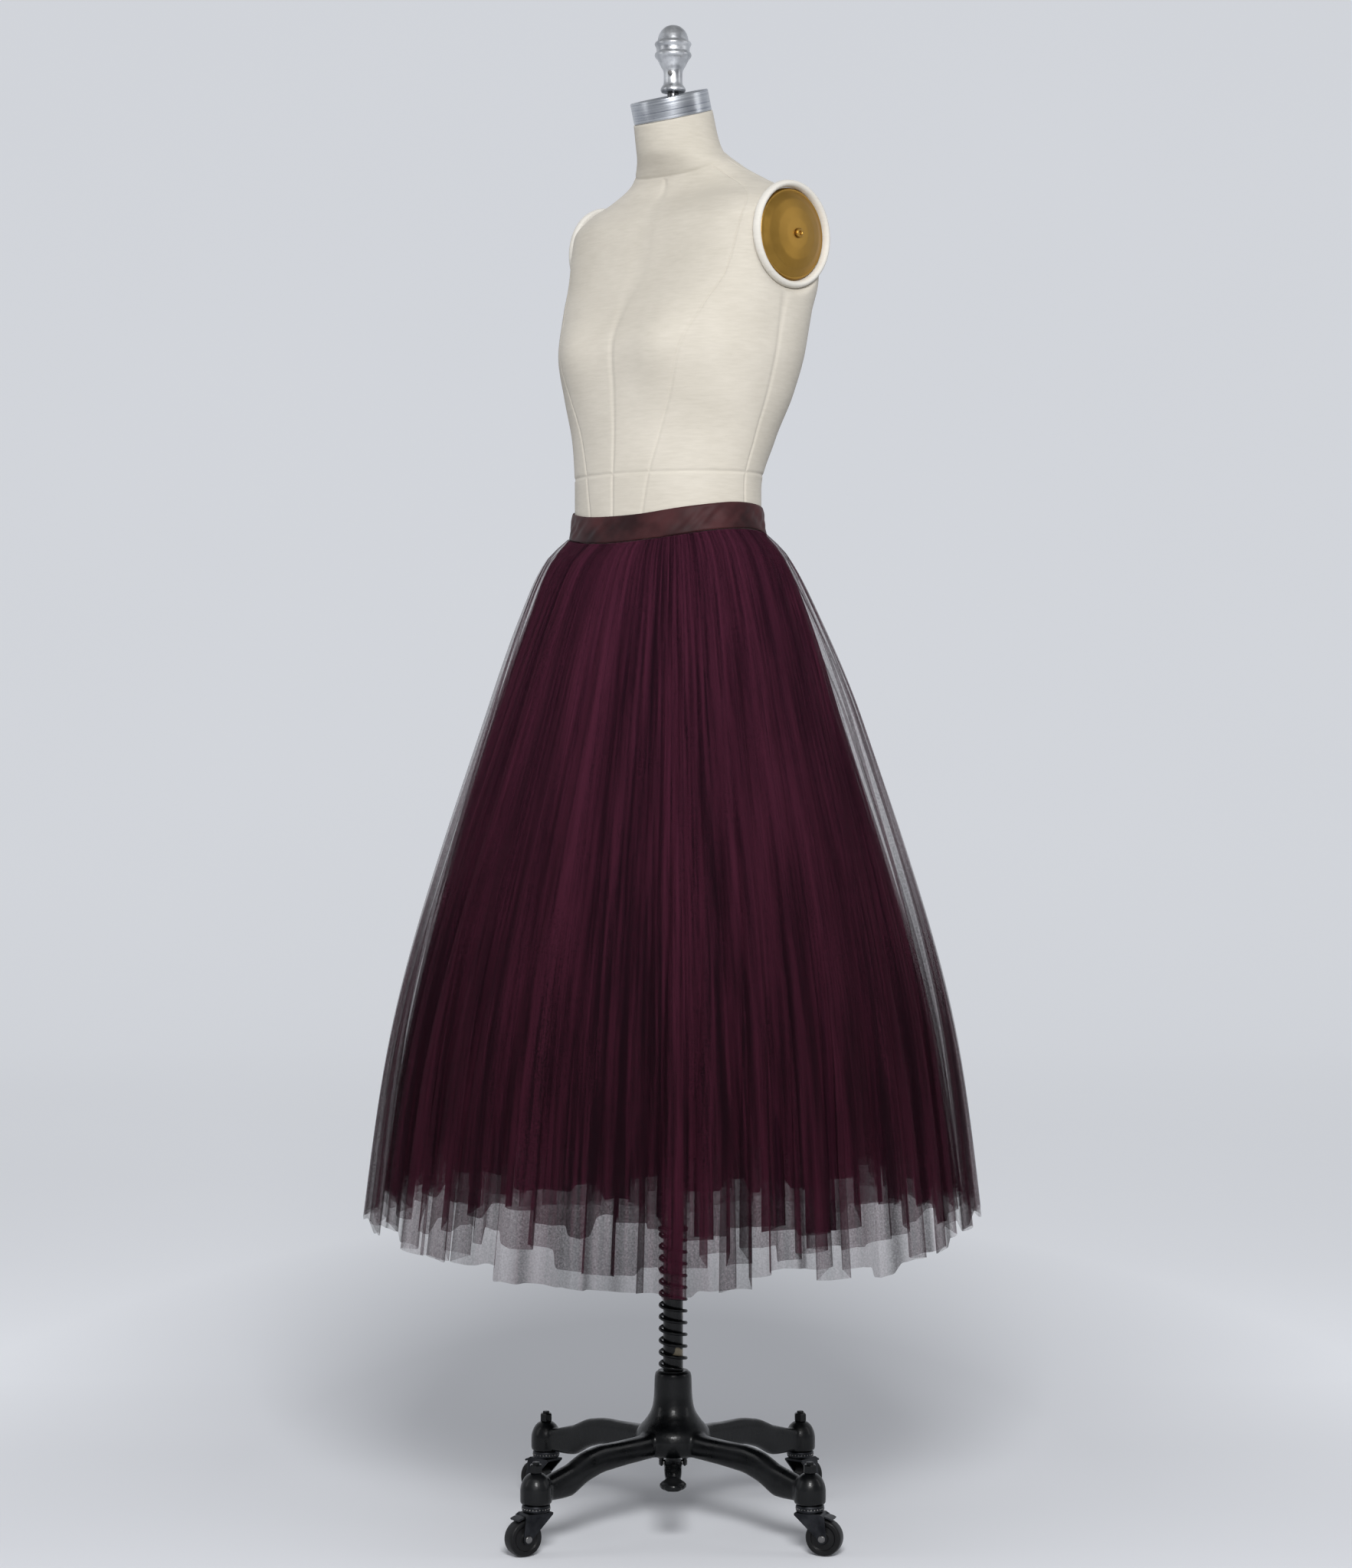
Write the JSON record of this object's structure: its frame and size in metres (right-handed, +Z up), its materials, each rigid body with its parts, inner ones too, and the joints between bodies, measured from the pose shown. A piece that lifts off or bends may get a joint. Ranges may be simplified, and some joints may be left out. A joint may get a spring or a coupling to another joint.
{
  "type": "layered tulle skirt on a limbless dress form and stand",
  "caption": "Long gathered tulle skirt in nested sheer layers with a satin waistband, worn by a limbless dress form on a sprung pole and a cast base with casters.",
  "frame": {"origin": "on the floor, on the axis of the pole", "axes": "+Z up; the form's front faces -Y and its left side is +X; the legs of the base point along X and Y"},
  "size_m": [0.6907, 0.688, 1.6483],
  "materials": {
    "tulle": "sheer woven net, matt",
    "satin": "satin weave, soft sheen",
    "linen": "plain linen over padding",
    "ring_linen": "padded linen edging",
    "bright_metal": "cast and polished, a little dull",
    "brass": "pressed and aged",
    "black_iron": "gloss black enamel, worn at the edges",
    "steel": "bare steel, darkened",
    "tyre": "hard rubber, dusty"
  },
  "bodies": {
    "stand": {"base_casting": "black_iron", "post": "black_iron", "pedal_pin": "steel", "spring": "black_iron", "caster_nut_front": "steel", "caster_nut_left": "steel", "caster_nut_back": "steel", "caster_nut_right": "steel"},
    "pedal": {"pedal": "black_iron"},
    "lift": {"spring_seat": "black_iron"},
    "form": {"tulle_1_front": "tulle", "tulle_1_back": "tulle", "tulle_2_front": "tulle", "tulle_2_back": "tulle", "tulle_3_front": "tulle", "tulle_3_back": "tulle", "tulle_4_front": "tulle", "tulle_4_back": "tulle", "tulle_5_front": "tulle", "tulle_5_back": "tulle", "waistband": "satin", "waistband_tab": "satin", "waist_button": "bright_metal", "form_torso": "linen", "neck_cap": "bright_metal", "finial": "bright_metal", "finial_screw": "steel", "arm_plate_left": "brass", "arm_plate_right": "brass", "arm_ring_left": "ring_linen", "arm_ring_right": "ring_linen", "arm_stud_left": "brass", "arm_stud_right": "brass", "form_tube": "steel"},
    "swivel_front": {"caster_race_front": "steel", "caster_fork_front": "black_iron", "caster_axle_front": "steel"},
    "wheel_front": {"caster_wheel_front": "tyre"},
    "swivel_left": {"caster_race_left": "steel", "caster_fork_left": "black_iron", "caster_axle_left": "steel"},
    "wheel_left": {"caster_wheel_left": "tyre"},
    "swivel_back": {"caster_race_back": "steel", "caster_fork_back": "black_iron", "caster_axle_back": "steel"},
    "wheel_back": {"caster_wheel_back": "tyre"},
    "swivel_right": {"caster_race_right": "steel", "caster_fork_right": "black_iron", "caster_axle_right": "steel"},
    "wheel_right": {"caster_wheel_right": "tyre"}
  },
  "joints": [
    {"name": "height_slide", "type": "slide", "parent": "stand", "child": "lift", "axis": [0, 0, 1], "range_m": [-0.08, 0.08], "deforming": ["spring"]},
    {"name": "form_turn", "type": "hinge", "parent": "lift", "child": "form", "pos_m": [0, 0, 0.33], "axis": [0, 0, 1], "continuous": true},
    {"name": "pedal_press", "type": "hinge", "parent": "stand", "child": "pedal", "pos_m": [0.01485, -0.01485, 0.0725], "axis": [0.7071, 0.7071, 0], "range_deg": [0, 12], "stiffness_Nm_per_rad": 2, "springref_deg": -14.32},
    {"name": "swivel_front", "type": "hinge", "parent": "stand", "child": "swivel_front", "pos_m": [0, -0.205, 0.049], "axis": [0, 0, 1], "continuous": true},
    {"name": "wheel_front", "type": "hinge", "parent": "swivel_front", "child": "wheel_front", "pos_m": [-0.00333, -0.22065, 0.01933], "axis": [0.9781, -0.2079, 0], "continuous": true},
    {"name": "swivel_left", "type": "hinge", "parent": "stand", "child": "swivel_left", "pos_m": [0.205, 0, 0.049], "axis": [0, 0, 1], "continuous": true},
    {"name": "wheel_left", "type": "hinge", "parent": "swivel_left", "child": "wheel_left", "pos_m": [0.21926, 0.00726, 0.01933], "axis": [-0.454, 0.891, 0], "continuous": true},
    {"name": "swivel_back", "type": "hinge", "parent": "stand", "child": "swivel_back", "pos_m": [0, 0.205, 0.049], "axis": [0, 0, 1], "continuous": true},
    {"name": "wheel_back", "type": "hinge", "parent": "swivel_back", "child": "wheel_back", "pos_m": [-0.00278, 0.22076, 0.01933], "axis": [-0.9848, -0.1736, 0], "continuous": true},
    {"name": "swivel_right", "type": "hinge", "parent": "stand", "child": "swivel_right", "pos_m": [-0.205, 0, 0.049], "axis": [0, 0, 1], "continuous": true},
    {"name": "wheel_right", "type": "hinge", "parent": "swivel_right", "child": "wheel_right", "pos_m": [-0.221, 0, 0.01933], "axis": [0, -1, 0], "continuous": true}
  ]
}
